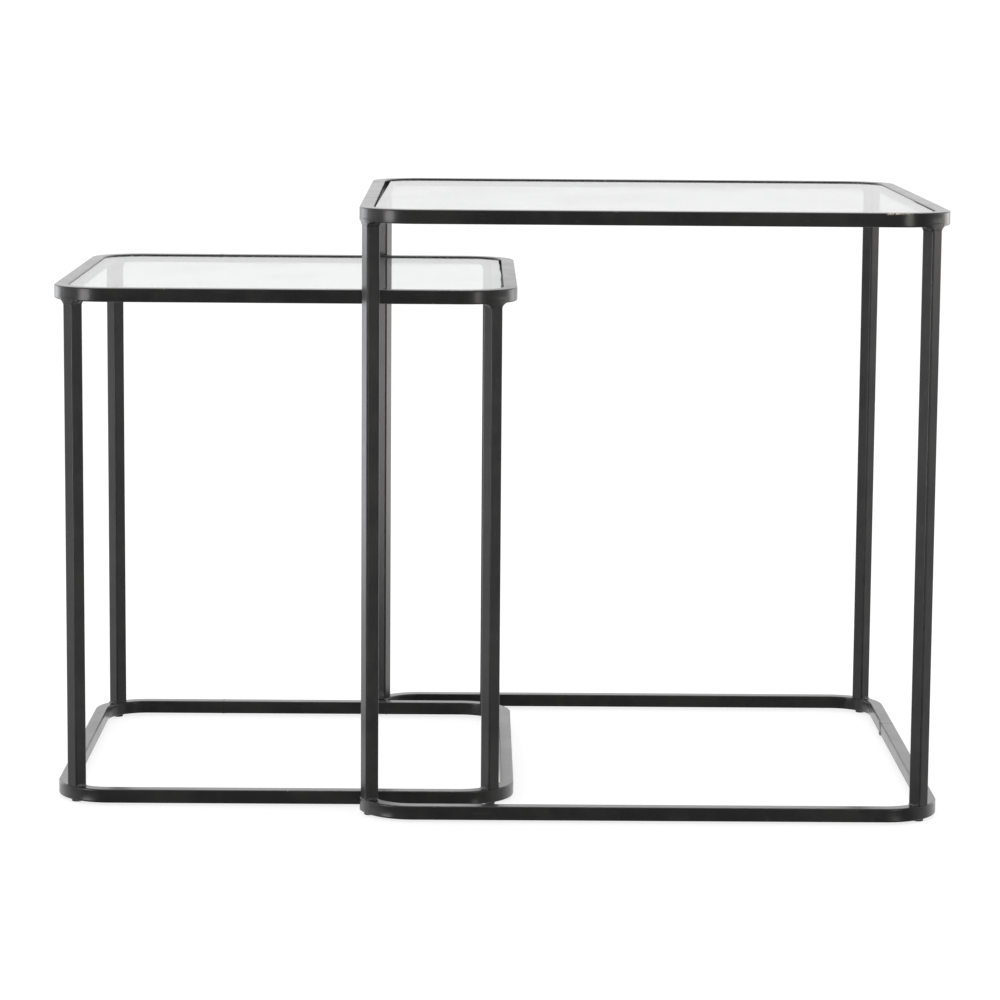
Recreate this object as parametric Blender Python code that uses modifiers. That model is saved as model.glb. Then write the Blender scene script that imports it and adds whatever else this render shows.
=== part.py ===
"""Pair of square nesting side tables in black square tube, each with a loose glass top.

The large table's base is open on the left (-X), so that the small table slides in under it.
Metres, +Z up, feet on z = 0. X runs along the way the small table slides, +Y is the back.
"""

from math import atan2, cos, radians, sin

import bmesh
import bpy
from mathutils import Vector

# ---------------------------------------------------------------- driving dimensions
TUBE = 0.012            # outside of the square tube, rails and legs alike
WALL = 0.0012           # wall of the tube
TUBE_EDGE = 0.0014      # chamfer that stands for the tube's rounded edge
CORNER = 0.048          # outer radius of every bent corner, seen from above
GAP = 0.0003            # clearance between pieces that touch

LARGE = {"name": "large", "width": 0.500, "depth": 0.500, "height": 0.522,
         "left_leg_turn": 26.0, "right_leg_turn": 45.0}
SMALL = {"name": "small", "width": 0.400, "depth": 0.400, "height": 0.450,
         "left_leg_turn": 46.0, "right_leg_turn": 50.0}
PULLED_OUT = 0.315      # small table's centre, left of the large table's centre
SET_BACK = 0.007        # small table's centre, behind the large table's centre

FOOT = 0.002            # height of the base rail above the floor
GLIDE_RADIUS = 0.0046
GLIDE_EDGE = 0.0004

GLASS_THICKNESS = 0.005
GLASS_DROP = 0.0012     # top of the glass below the top of its ring
GLASS_CLEARANCE = 0.0015
GLASS_ARRIS = 0.0004    # ground edge of the pane
BUMPER_RADIUS = 0.0035
BUMPER_HEIGHT = 0.001
LEDGE_WIDTH = 0.009
LEDGE_THICKNESS = 0.002

LARGE_TOP_SEAMS = (-0.075, 0.170)   # y of the butt welds in the large top ring's left side
LARGE_BASE_SEAM = 0.114             # y of the butt weld in the large base's right side
SMALL_SEAMS = (-0.080, 0.080)       # x of the butt welds in the small rings' back side
HOOK_END = 17.0         # where the large base's open ends stop, degrees round from the side
END_CAP = 0.0012        # plate that closes an open end of the large base

BEND_STEPS = 8          # straight facets in a quarter turn
ROUND_STEPS = 16        # sides of a glide or a bumper

# name of a corner: its signs along x and y
CORNERS = {
    "front_left": (-1, -1),
    "front_right": (1, -1),
    "back_right": (1, 1),
    "back_left": (-1, 1),
}

# ---------------------------------------------------------------- derived dimensions
BEND = CORNER - TUBE / 2            # centreline radius of a bend
PAIR_LENGTH = LARGE["width"] / 2 + PULLED_OUT + SMALL["width"] / 2
LARGE["centre"] = (PAIR_LENGTH / 2 - LARGE["width"] / 2, 0.0)
SMALL["centre"] = (LARGE["centre"][0] - PULLED_OUT, SET_BACK)

FINISHES = {
    "black_powder_coat": {"color": (0.018, 0.017, 0.017), "roughness": 0.45, "metallic": 0.0},
    "clear_glass": {"color": (0.90, 0.95, 0.94), "roughness": 0.03, "metallic": 0.0},
    "clear_silicone": {"color": (0.85, 0.86, 0.84), "roughness": 0.30, "metallic": 0.0},
    "black_nylon": {"color": (0.030, 0.028, 0.028), "roughness": 0.60, "metallic": 0.0},
}


# ---------------------------------------------------------------- scene and materials
def clear_scene():
    for thing in list(bpy.data.objects):
        bpy.data.objects.remove(thing, do_unlink=True)


def new_collection(name):
    collection = bpy.data.collections.new(name)
    bpy.context.scene.collection.children.link(collection)
    return collection


def finish(thing, kind):
    """Give the piece a material of its own in one of the finishes."""
    values = FINISHES[kind]
    material = bpy.data.materials.new(f"{thing.name}_{kind}")
    material.use_nodes = True
    shader = material.node_tree.nodes["Principled BSDF"]
    shader.inputs["Base Color"].default_value = (*values["color"], 1.0)
    shader.inputs["Roughness"].default_value = values["roughness"]
    shader.inputs["Metallic"].default_value = values["metallic"]
    if kind == "clear_glass":
        shader.inputs["Transmission Weight"].default_value = 1.0
        shader.inputs["IOR"].default_value = 1.52
    thing.data.materials.append(material)


def place(thing, parent, location, turn=0.0):
    """Put the piece in the pair's collection, at a place in its table's own frame."""
    PIECES.objects.link(thing)
    thing.parent = parent
    thing.location = location
    thing.rotation_euler[2] = turn
    return thing


# ---------------------------------------------------------------- outlines
def quarter(centre, radius, start, end):
    """Points round an arc in plan, from one direction in degrees to another."""
    steps = max(2, round(BEND_STEPS * abs(end - start) / 90))
    turns = [radians(start + (end - start) * i / steps) for i in range(steps + 1)]
    return [(centre[0] + radius * cos(a), centre[1] + radius * sin(a)) for a in turns]


def square_outline(size, chamfer):
    """Square tube's outline, anticlockwise, each corner cut by a chamfer."""
    half = size / 2
    flat = half - chamfer
    return [(half, -flat), (half, flat), (flat, half), (-flat, half),
            (-half, flat), (-half, -flat), (-flat, -half), (flat, -half)]


def rounded_rectangle(width, depth, radius):
    """Rectangle with round corners about the origin, anticlockwise."""
    points = []
    for (sx, sy), start in (((1, 1), 0), ((-1, 1), 90), ((-1, -1), 180), ((1, -1), 270)):
        centre = (sx * (width / 2 - radius), sy * (depth / 2 - radius))
        points += quarter(centre, radius, start, start + 90)
    return points


def corner_centre(table, corner):
    """Centre of a bend, in its table's plan."""
    sx, sy = CORNERS[corner]
    return sx * (table["width"] / 2 - CORNER), sy * (table["depth"] / 2 - CORNER)


def leg_place(table, corner):
    """Place and turn of a leg: on the bend's centreline, square to the bend's radius."""
    sx, sy = CORNERS[corner]
    side = "left" if sx < 0 else "right"
    turn = radians(table[f"{side}_leg_turn"])
    direction = Vector((sx * cos(turn), sy * sin(turn)))
    spot = Vector(corner_centre(table, corner)) + BEND * direction
    return spot, atan2(direction.y, direction.x)


# ---------------------------------------------------------------- curves and solids
def poly_curve(name, points, flat, cyclic):
    """Curve object on a poly spline through (x, y) points at z = 0."""
    curve = bpy.data.curves.new(name, "CURVE")
    curve.dimensions = "2D" if flat else "3D"
    spline = curve.splines.new("POLY")
    spline.points.add(len(points) - 1)
    for point, (x, y) in zip(spline.points, points):
        point.co = (x, y, 0.0, 1.0)
    spline.use_cyclic_u = cyclic
    return bpy.data.objects.new(name, curve)


def add_wall(thing):
    """Turn an open-ended skin into a tube of the given wall, inwards from the skin."""
    wall = thing.modifiers.new("wall", "SOLIDIFY")
    wall.thickness = WALL
    wall.offset = -1.0
    wall.use_even_offset = True


def bent_tube(name, points, parent, height):
    """Hollow square tube bent along a path in plan, open at both ends."""
    tube = poly_curve(name, points, flat=False, cyclic=False)
    tube.data.twist_mode = "Z_UP"
    tube.data.bevel_mode = "OBJECT"
    tube.data.bevel_object = TUBE_SECTION
    tube.data.use_fill_caps = False
    add_wall(tube)
    finish(tube, "black_powder_coat")
    return place(tube, parent, (0, 0, height))


def upright_tube(name, length, parent, foot, turn):
    """Hollow square tube standing on its open end."""
    tube = poly_curve(name, square_outline(TUBE, TUBE_EDGE), flat=True, cyclic=True)
    tube.data.fill_mode = "NONE"
    tube.data.extrude = length / 2
    add_wall(tube)
    finish(tube, "black_powder_coat")
    return place(tube, parent, (*foot[:2], foot[2] + length / 2), turn)


def box(name, size, parent, location, kind, turn=0.0):
    """Block of three sizes, centred on its own origin."""
    mesh = bpy.data.meshes.new(name)
    cage = bmesh.new()
    bmesh.ops.create_cube(cage, size=1.0)
    bmesh.ops.scale(cage, vec=size, verts=cage.verts)
    cage.to_mesh(mesh)
    cage.free()
    block = bpy.data.objects.new(name, mesh)
    finish(block, kind)
    return place(block, parent, location, turn)


def disc(name, radius, height, parent, foot, kind, edge=0.0):
    """Short round piece standing on a point, with an optional chamfered edge."""
    mesh = bpy.data.meshes.new(name)
    cage = bmesh.new()
    bmesh.ops.create_cone(cage, cap_ends=True, segments=ROUND_STEPS,
                          radius1=radius, radius2=radius, depth=height)
    cage.to_mesh(mesh)
    cage.free()
    piece = bpy.data.objects.new(name, mesh)
    if edge:
        bevel = piece.modifiers.new("edge", "BEVEL")
        bevel.width = edge
        bevel.segments = 1
        bevel.limit_method = "ANGLE"
        bevel.angle_limit = radians(60)
    finish(piece, kind)
    return place(piece, parent, (*foot[:2], foot[2] + height / 2))


# ---------------------------------------------------------------- pieces of a table
def side_joined_left(table, seams):
    """Path of a ring that starts and ends on the left side, at the two seams' y."""
    left = -table["width"] / 2 + TUBE / 2
    path = [(left, seams[0])]
    for corner, start in zip(CORNERS, (180, 270, 0, 90)):
        path += quarter(corner_centre(table, corner), BEND, start, start + 90)
    return path + [(left, seams[1])]


def side_joined_back(table, seams):
    """Path of a ring that starts and ends on the back side, at the two seams' x."""
    back = table["depth"] / 2 - TUBE / 2
    path = [(seams[0], back)]
    order = ("back_left", "front_left", "front_right", "back_right")
    for corner, start in zip(order, (90, 180, 270, 0)):
        path += quarter(corner_centre(table, corner), BEND, start, start + 90)
    return path + [(seams[1], back)]


def large_top_ring(table, parent):
    height = table["height"] - TUBE / 2
    left = -table["width"] / 2 + TUBE / 2
    low, high = LARGE_TOP_SEAMS
    bent_tube("large_top_rail", side_joined_left(table, LARGE_TOP_SEAMS), parent, height)
    closing = [(left, high - GAP), (left, low + GAP)]
    bent_tube("large_top_closing_rail", closing, parent, height)


def large_base(table, parent):
    """Two hooked halves, welded in the right side and open to the left."""
    height = FOOT + TUBE / 2
    right = table["width"] / 2 - TUBE / 2
    front = quarter(corner_centre(table, "front_left"), BEND, 180 + HOOK_END, 270)
    front += quarter(corner_centre(table, "front_right"), BEND, 270, 360)
    front.append((right, LARGE_BASE_SEAM))
    back = [(right, LARGE_BASE_SEAM + GAP)]
    back += quarter(corner_centre(table, "back_right"), BEND, 0, 90)
    back += quarter(corner_centre(table, "back_left"), BEND, 90, 180 - HOOK_END)
    bent_tube("large_base_front_rail", front, parent, height)
    bent_tube("large_base_back_rail", back, parent, height)
    for end, tip, inner in (("front", front[0], front[1]), ("back", back[-1], back[-2])):
        along = (Vector(tip) - Vector(inner)).normalized()
        spot = Vector(tip) + (GAP + END_CAP / 2) * along
        box(f"large_base_end_cap_{end}", (END_CAP, TUBE, TUBE), parent, (*spot, height),
            "black_powder_coat", atan2(along.y, along.x))


def small_ring(table, parent, level, height):
    back = table["depth"] / 2 - TUBE / 2
    low, high = SMALL_SEAMS
    bent_tube(f"small_{level}_rail", side_joined_back(table, SMALL_SEAMS), parent, height)
    closing = [(high - GAP, back), (low + GAP, back)]
    bent_tube(f"small_{level}_closing_rail", closing, parent, height)


def legs(table, parent):
    foot = FOOT + TUBE + GAP
    length = table["height"] - TUBE - GAP - foot
    for corner in CORNERS:
        spot, turn = leg_place(table, corner)
        upright_tube(f"{table['name']}_leg_{corner}", length, parent, (*spot, foot), turn)


def glides(table, parent):
    for corner in CORNERS:
        spot, _ = leg_place(table, corner)
        disc(f"{table['name']}_glide_{corner}", GLIDE_RADIUS, FOOT - GAP, parent,
             (*spot, 0.0), "black_nylon", edge=GLIDE_EDGE)


def glass_levels(table):
    """Heights of the pane's underside and of the ledge's top."""
    under = table["height"] - GLASS_DROP - GLASS_THICKNESS
    return under, under - BUMPER_HEIGHT - 2 * GAP


def ledges(table, parent):
    """Flat bars welded inside the ring's straight sides, under the pane."""
    _, top = glass_levels(table)
    height = top - LEDGE_THICKNESS / 2
    for side, sx, sy in (("front", 0, -1), ("back", 0, 1), ("left", -1, 0), ("right", 1, 0)):
        across = table["depth"] if sy else table["width"]
        along = table["width"] if sy else table["depth"]
        reach = across / 2 - TUBE - GAP - LEDGE_WIDTH / 2
        length = along - 2 * CORNER
        size = (length, LEDGE_WIDTH, LEDGE_THICKNESS) if sy else (LEDGE_WIDTH, length, LEDGE_THICKNESS)
        box(f"{table['name']}_ledge_{side}", size, parent, (sx * reach, sy * reach, height),
            "black_powder_coat")


def bumpers(table, parent):
    """Clear dots on the front and back ledges, near their ends."""
    _, top = glass_levels(table)
    reach_x = table["width"] / 2 - CORNER - 2 * BUMPER_RADIUS
    reach_y = table["depth"] / 2 - TUBE - GAP - LEDGE_WIDTH / 2
    for corner, (sx, sy) in CORNERS.items():
        disc(f"{table['name']}_bumper_{corner}", BUMPER_RADIUS, BUMPER_HEIGHT, parent,
             (sx * reach_x, sy * reach_y, top + GAP), "clear_silicone")


def glass_pane(table, parent):
    """Loose pane with round corners and ground edges, inset in the top ring."""
    inset = TUBE + GLASS_CLEARANCE
    outline = rounded_rectangle(table["width"] - 2 * inset, table["depth"] - 2 * inset,
                                CORNER - inset)
    pane = poly_curve(f"{table['name']}_glass_pane", outline, flat=True, cyclic=True)
    pane.data.fill_mode = "BOTH"
    pane.data.extrude = GLASS_THICKNESS / 2
    weld = pane.modifiers.new("weld", "WELD")
    weld.merge_threshold = 0.00001
    arris = pane.modifiers.new("arris", "BEVEL")
    arris.width = GLASS_ARRIS
    arris.segments = 1
    arris.limit_method = "ANGLE"
    arris.angle_limit = radians(60)
    finish(pane, "clear_glass")
    under, _ = glass_levels(table)
    return place(pane, parent, (0, 0, under + GLASS_THICKNESS / 2))


def table_origin(table):
    """Empty on the floor under the table's centre: the small one's marks its slide."""
    origin = bpy.data.objects.new(f"{table['name']}_table_origin", None)
    origin.location = (*table["centre"], 0.0)
    PIECES.objects.link(origin)
    return origin


def fittings(table, parent):
    """What both tables have alike."""
    legs(table, parent)
    glides(table, parent)
    ledges(table, parent)
    bumpers(table, parent)
    glass_pane(table, parent)


# ---------------------------------------------------------------- the pair
clear_scene()
PIECES = new_collection("nesting_tables")
GUIDES = new_collection("guides")

# a section carried along a path faces outwards when its outline runs clockwise
TUBE_SECTION = poly_curve("tube_section", square_outline(TUBE, TUBE_EDGE)[::-1], flat=True,
                          cyclic=True)
TUBE_SECTION.data.fill_mode = "NONE"
TUBE_SECTION.hide_render = True
TUBE_SECTION.display_type = "WIRE"
GUIDES.objects.link(TUBE_SECTION)

large_origin = table_origin(LARGE)
large_top_ring(LARGE, large_origin)
large_base(LARGE, large_origin)
fittings(LARGE, large_origin)

small_origin = table_origin(SMALL)
small_ring(SMALL, small_origin, "top", SMALL["height"] - TUBE / 2)
small_ring(SMALL, small_origin, "base", FOOT + TUBE / 2)
fittings(SMALL, small_origin)
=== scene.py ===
"""Pair of square nesting side tables: coated tube, welds, glass tops and a studio, around the frame.

Laid out as an add-on and run as a script. Metres, +Z up, feet on z = 0, +Y is the back.
"""

from functools import reduce
from math import pi, radians

import bpy
import numpy as np
from bpy.props import FloatProperty, FloatVectorProperty, PointerProperty
from mathutils import Matrix, Vector


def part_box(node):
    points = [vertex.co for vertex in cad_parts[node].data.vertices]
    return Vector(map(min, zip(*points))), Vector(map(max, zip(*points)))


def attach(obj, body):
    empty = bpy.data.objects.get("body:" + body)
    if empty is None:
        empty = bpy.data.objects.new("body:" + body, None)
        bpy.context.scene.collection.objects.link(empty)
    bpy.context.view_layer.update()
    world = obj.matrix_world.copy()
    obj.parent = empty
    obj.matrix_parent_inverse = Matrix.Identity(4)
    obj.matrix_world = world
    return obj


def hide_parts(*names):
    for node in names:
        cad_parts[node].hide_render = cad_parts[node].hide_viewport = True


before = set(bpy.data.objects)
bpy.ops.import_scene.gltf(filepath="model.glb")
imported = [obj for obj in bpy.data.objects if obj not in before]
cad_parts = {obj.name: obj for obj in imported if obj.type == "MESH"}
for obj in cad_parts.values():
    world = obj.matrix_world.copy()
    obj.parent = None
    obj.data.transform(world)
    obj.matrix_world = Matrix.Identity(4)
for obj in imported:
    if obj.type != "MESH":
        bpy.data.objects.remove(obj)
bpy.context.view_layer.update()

bl_info = {
    "name": "Nesting Tables",
    "version": (1, 0, 0),
    "blender": (4, 5, 0),
    "location": "View3D > Sidebar > Nesting Tables",
    "description": "Coated tube, welds, glass tops and a studio for a pair of nesting side tables",
    "category": "Add Mesh",
}

TABLES = ("large", "small")

# name of a corner: its signs along x and y, and where its bend starts, in degrees round from +X
CORNERS = {
    "front_left": (-1, -1, 180),
    "front_right": (1, -1, 270),
    "back_right": (1, 1, 0),
    "back_left": (-1, 1, 90),
}
UP = np.array((0.0, 0.0, 1.0))
QUARTER = 90.0              # degrees in a bend

BEND_STEPS = 36             # stations in a quarter turn of a rail
STRAIGHT_STEP = 0.012       # distance between stations on a straight run
END_PLATE = 0.0012          # plate that closes an open end of the large base
SHARP = radians(38)         # faces that meet at more than this are shaded apart

# Knocks that have broken the coat on an edge: table, place from its plan's centre and height, reach
# along the three axes, and how much of the edge is bare there.
KNOCKS = (
    ("large", (0.204, -0.250, 0.5220), (0.017, 0.004, 0.0040), 1.10),
    ("large", (0.193, -0.250, 0.5216), (0.005, 0.004, 0.0030), 0.90),
    ("large", (-0.035, -0.250, 0.5220), (0.004, 0.004, 0.0025), 0.75),
    ("large", (-0.025, 0.238, 0.5220), (0.005, 0.004, 0.0025), 0.70),
    ("large", (-0.168, -0.250, 0.0085), (0.012, 0.004, 0.0030), 0.55),
    ("large", (-0.070, -0.250, 0.0085), (0.009, 0.004, 0.0030), 0.55),
    ("small", (-0.105, -0.200, 0.4500), (0.008, 0.004, 0.0030), 0.70),
    ("small", (0.110, -0.200, 0.0140), (0.007, 0.004, 0.0030), 0.60),
)

# Spots of the top rings that are rough from grinding and spatter: table, place and reach as above, and
# how rough.
SCARS = (
    ("small", (-0.1705, -0.1965, 0.4440), (0.016, 0.010, 0.009), 1.0),
    ("small", (-0.1944, -0.1745, 0.4440), (0.008, 0.010, 0.009), 1.3),
    ("large", (-0.2398, -0.2315, 0.5160), (0.009, 0.009, 0.009), 0.6),
    ("large", (0.2484, -0.2144, 0.5160), (0.008, 0.014, 0.009), 0.9),
)


# -------- settings
def size(name, default, description):
    """Length that a user may change, in metres."""
    return FloatProperty(name=name, description=description, default=default, min=0.0,
                         precision=5, subtype="DISTANCE", unit="LENGTH")


def amount(name, default, description):
    """Share from nought to one that a user may change."""
    return FloatProperty(name=name, description=description, default=default, min=0.0, max=1.0)


def angle(name, default, description):
    """Angle that a user may change, in radians."""
    return FloatProperty(name=name, description=description, default=default, precision=4,
                         subtype="ANGLE", unit="ROTATION")


def colour(name, default, description):
    """Colour that a user may change."""
    return FloatVectorProperty(name=name, description=description, default=default, size=3,
                               min=0.0, max=1.0, precision=4, subtype="COLOR")


class TubeSettings(bpy.types.PropertyGroup):
    """Sizes of the square tube's surface."""
    edge_radius: size("Edge radius", 0.0013, "Radius of the tube's rounded edges")
    bend_sink: size("Bend sink", 0.00035, "How far the outer wall sinks in the middle of a bend")
    bend_ripple: size("Bend ripple", 0.00010, "Height of the ripples in the inner wall of a bend")
    plate_edge: size("Plate edge", 0.0003, "Rounded edge of ledges and end plates")


class WeldSettings(bpy.types.PropertyGroup):
    """Sizes of the welds."""
    top_fillet: size("Top fillet", 0.0052, "Spread of a weld along the top ring")
    base_fillet: size("Base fillet", 0.0030, "Spread of a weld along the base")
    proud: size("Proud", 0.00010, "Height of the ground weld over the tube's face")
    inset: size("Inset", 0.00075, "How far a base weld keeps inside the tube's faces")
    lumps: size("Lumps", 0.00055, "Unevenness of the unground sides")
    seam_width: size("Seam width", 0.0038, "Width of the ground band over a butt weld")
    seam_height: size("Seam height", 0.00018, "Height of the ground band over a butt weld")
    bead_width: size("Bead width", 0.0090, "Width of the unground bead of the large base's seam")
    bead_height: size("Bead height", 0.0008, "Height of the bead on the inner and lower flats")


class GlassSettings(bpy.types.PropertyGroup):
    """Sizes of the panes and of what they lie on."""
    gap: size("Gap", 0.0008, "Gap between a pane and its ring")
    left_gap_front: size("Left gap, front", 0.0004, "Gap beside the large pane at its front left")
    left_gap_back: size("Left gap, back", 0.0050, "Gap beside the large pane at its back left")
    right_gap_front: size("Right gap, front", 0.0015, "Gap beside the large pane at its front right")
    right_gap_back: size("Right gap, back", 0.0003, "Gap beside the large pane at its back right")
    small_left_gap: size("Small left gap", 0.0003, "Gap beside the small pane at its left")
    wave: size("Wave", 0.0007, "Waviness of the small pane's right edge")
    arris: size("Arris", 0.0004, "Ground edge of a pane")


class FinishSettings(bpy.types.PropertyGroup):
    """Colours and textures of the finishes."""
    coat: colour("Coat", (0.0100, 0.0098, 0.0100), "Black powder coat")
    coat_worn: colour("Handled coat", (0.0170, 0.0162, 0.0155), "Black powder coat where it is handled")
    scuff: colour("Scuff", (0.085, 0.080, 0.076), "Fine scratches in the coat")
    primer: colour("Primer", (0.560, 0.500, 0.405), "Primer and steel where the coat has chipped")
    peel_size: size("Peel size", 0.0021, "Size of the coat's orange peel")
    peel_depth: size("Peel depth", 0.000012, "Depth of the coat's orange peel")
    scar_depth: size("Scar depth", 0.00022, "Depth of the rough spots left by grinding")
    chip_depth: size("Chip depth", 0.00007, "Depth of a chip in the coat")
    wear: amount("Wear", 0.06, "How much of the edges is chipped away from the knocks")
    glass_face: colour("Glass face", (0.955, 0.975, 0.970), "Clear glass seen through its faces")
    glass_edge: colour("Glass edge", (0.420, 0.720, 0.620), "Glass seen through its ground edge")
    silicone: colour("Silicone", (0.850, 0.860, 0.840), "Clear silicone dots")
    nylon: colour("Nylon", (0.030, 0.028, 0.028), "Black nylon glides")


class StudioSettings(bpy.types.PropertyGroup):
    """Floor, lights and camera."""
    floor: colour("Floor", (0.250, 0.250, 0.249), "Pale floor")
    floor_glow: amount("Floor glow", 0.78, "Light that the floor gives off")
    floor_size: size("Floor size", 900.0, "Side of the floor")
    lens: FloatProperty(name="Lens", description="Focal length", default=128.41, min=1.0, unit="CAMERA")
    camera_place: FloatVectorProperty(name="Camera place", description="Where the camera stands", size=3,
                                      default=(-0.0218, -3.2233, 0.7065), subtype="TRANSLATION")
    pitch: angle("Pitch", 0.1430, "How far the camera looks down")
    yaw: angle("Yaw", 0.0083, "How far the camera looks to the right of +Y")
    roll: angle("Roll", 0.0078, "How far the camera is turned about its own axis")


class NestingTables(bpy.types.PropertyGroup):
    """All the settings of the pair."""
    tube: PointerProperty(type=TubeSettings)
    weld: PointerProperty(type=WeldSettings)
    glass: PointerProperty(type=GlassSettings)
    finish: PointerProperty(type=FinishSettings)
    studio: PointerProperty(type=StudioSettings)


def settings():
    return bpy.context.scene.nesting_tables


# -------- places read from the frame
def box(node):
    """Lowest and highest corner of a frame node, as arrays."""
    low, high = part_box(node)
    return np.array(low), np.array(high)


def middle(node):
    low, high = box(node)
    return (low + high) / 2


def heading(angles):
    """Unit vectors in plan, (cos, sin, 0) of each angle."""
    return np.stack((np.cos(angles), np.sin(angles), np.zeros_like(angles)), axis=-1)


class Plan:
    """Where one table's rings, bends and legs are."""

    def __init__(self, table):
        low, high = box(f"{table}_top_rail")
        ledge_low, ledge_high = box(f"{table}_ledge_front")
        self.table = table
        self.body = f"{table}_table"
        self.base_rail = "large_base_front_rail" if table == "large" else "small_base_rail"
        self.centre = (low + high) / 2
        self.half = (high - low) / 2
        self.tube = self.half[2]                                            # half of the tube's side
        self.corner = self.half[0] - (ledge_high[0] - ledge_low[0]) / 2     # outer radius of a bend
        self.bend = self.corner - self.tube                                 # centreline radius of a bend

    def bend_centre(self, corner):
        """Centre of a bend in plan, at z = 0."""
        sx, sy, _ = CORNERS[corner]
        reach = self.half[:2] - self.corner
        return np.array((self.centre[0] + sx * reach[0], self.centre[1] + sy * reach[1], 0.0))

    def turn(self, corner, node):
        """Direction from a bend's centre to the middle of a node, in radians."""
        x, y, _ = middle(node) - self.bend_centre(corner)
        return np.arctan2(y, x)


# -------- profiles and grids
def square_profile(flats=(-1.0, -0.9, -0.6, -0.2, 0.2, 0.6, 0.9, 1.0), arc_steps=4):
    """Outline of a rounded rectangle as core, bulge and edge, one row for each point, anticlockwise.

    A point is core * (half size - radius) + bulge * radius. Along a flat the core runs from -1 to 1 and
    the bulge is the flat's normal; round a corner the core stays and the bulge is (cos, sin) of an angle
    that runs through a quarter turn. Edge is 1 half way round a corner, 0.75 at its ends and fades out on
    the flats.
    """
    flats = np.array(flats)
    turns = np.linspace(0, pi / 2, arc_steps + 1)[1:-1]
    ones = np.ones_like(flats)
    core = np.vstack((np.stack((ones, flats), 1), np.ones((len(turns), 2))))
    bulge = np.vstack((np.stack((ones, 0 * ones), 1), np.stack((np.cos(turns), np.sin(turns)), 1)))
    near = np.interp(np.abs(flats), (0.8, 0.9, 1.0), (0.0, 0.2, 0.75))
    edge = np.concatenate((near, 0.75 + 0.25 * np.sin(2 * turns)))
    quarter_turn = np.array(((0, 1), (-1, 0)))
    spins = [np.linalg.matrix_power(quarter_turn, k) for k in range(4)]
    return (np.vstack([core @ spin for spin in spins]), np.vstack([bulge @ spin for spin in spins]),
            np.tile(edge, 4))


def outline(core, bulge, half, radius):
    """Points of a profile, core * (half - radius) + bulge * radius, for one or many halves and radii."""
    half, radius = np.asarray(half, float), np.asarray(radius, float)
    return core * (half - radius[..., None])[..., None, :] + bulge * radius[..., None, None]


def carry(stations, out, up, sections):
    """Profiles carried along a path: station + section x * out + section y * up, one row a station. Out
    and up are either one vector or one for each station."""
    out, up = (np.broadcast_to(way, stations.shape)[:, None, :] for way in (out, up))
    return stations[:, None, :] + sections[..., 0:1] * out + sections[..., 1:2] * up


def between(start, end, out):
    """Stations on a straight line in even steps, without its last point, with one outward direction."""
    steps = max(1, round(np.linalg.norm(end - start) / STRAIGHT_STEP))
    share = np.arange(steps)[:, None] / steps
    return start + share * (end - start), np.repeat(out[None, :], steps, axis=0), np.zeros(steps)


def ring_path(plan, height, bends, start=None, end=None):
    """Centre line of a bent tube, the direction outwards and the share of a bend at each station.

    Round a bend a station is the bend's centre plus the centreline radius times (cos, sin) of an angle
    that runs between the two given for that bend. Between bends the stations step along the straight.
    The share of a bend is the sine of twice the angle: 0 where the bend starts and 1 half way round.
    """
    runs, here = [], start
    for corner, first, last in bends:
        steps = max(2, round(BEND_STEPS * abs(last - first) / radians(QUARTER)))
        angles = np.linspace(first, last, steps + 1)
        out = heading(angles)
        arc = plan.bend_centre(corner) + plan.bend * out + height * UP
        if here is not None:
            runs.append(between(here, arc[0], out[0]))
        is_last = end is None and corner == bends[-1][0]
        keep = slice(None) if is_last else slice(None, -1)
        runs.append((arc[keep], out[keep], np.abs(np.sin(2 * angles))[keep]))
        here, facing = arc[-1], out[-1]
    if end is not None:
        runs.append(between(here, end, facing))
        runs.append((end[None, :], facing[None, :], np.zeros(1)))
    return [np.concatenate(parts) for parts in zip(*runs)]


def full_bends(*corners):
    """Whole quarter turns at these corners, in the order given, anticlockwise."""
    return [(c, radians(CORNERS[c][2]), radians(CORNERS[c][2] + QUARTER)) for c in corners]


# -------- meshes and pieces
def write_mesh(name, grid, edge):
    """Closed mesh from a grid of rows of points: quads between neighbouring rows, which close on
    themselves, and one flat face on the first and the last row. Faces are turned outwards by the sign
    of the volume, the sum of each triangle's triple product. Edge is kept as a point attribute."""
    rows, around = grid.shape[:2]
    index = np.arange(rows * around).reshape(rows, around)
    here, beside = index, np.roll(index, -1, axis=1)
    quads = np.stack((here[:-1], beside[:-1], beside[1:], here[1:]), axis=-1).reshape(-1, 4)
    caps = [index[0][::-1], index[-1]]
    points = grid.reshape(-1, 3)
    centred = points - points.mean(axis=0)
    fans = [np.stack((np.full(around - 2, c[0]), c[1:-1], c[2:]), axis=1) for c in caps]
    triangles = np.vstack((quads[:, [0, 1, 2]], quads[:, [0, 2, 3]], *fans))
    a, b, c = (centred[triangles[:, k]] for k in range(3))
    if np.einsum("ij,ij->", a, np.cross(b, c)) < 0:
        quads, caps = quads[:, ::-1], [cap[::-1] for cap in caps]
    mesh = bpy.data.meshes.new(name)
    mesh.from_pydata(points.tolist(), [], quads.tolist() + [cap.tolist() for cap in caps])
    values = np.broadcast_to(edge, (rows, around)).astype(np.float32).ravel()
    mesh.attributes.new("edge", "FLOAT", "POINT").data.foreach_set("value", values)
    mesh.shade_smooth()
    mesh.set_sharp_from_angle(angle=SHARP)
    return mesh


def add_piece(name, grid, edge, material, body, slot, *nodes):
    """Finished piece: its mesh, material, body and the frame nodes it stands for. The slot is not used."""
    piece = bpy.data.objects.new(name, write_mesh(name, grid, edge))
    bpy.context.scene.collection.objects.link(piece)
    piece.data.materials.append(material())
    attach(piece, body)
    if nodes:
        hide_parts(*nodes)
    return piece


def coated(name, grid, edge, plan, *nodes, material=None):
    """Piece of black coated steel that rides on its table."""
    return add_piece(name, grid, edge, material or powder_coat, plan.body, "frame_black", *nodes)


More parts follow.
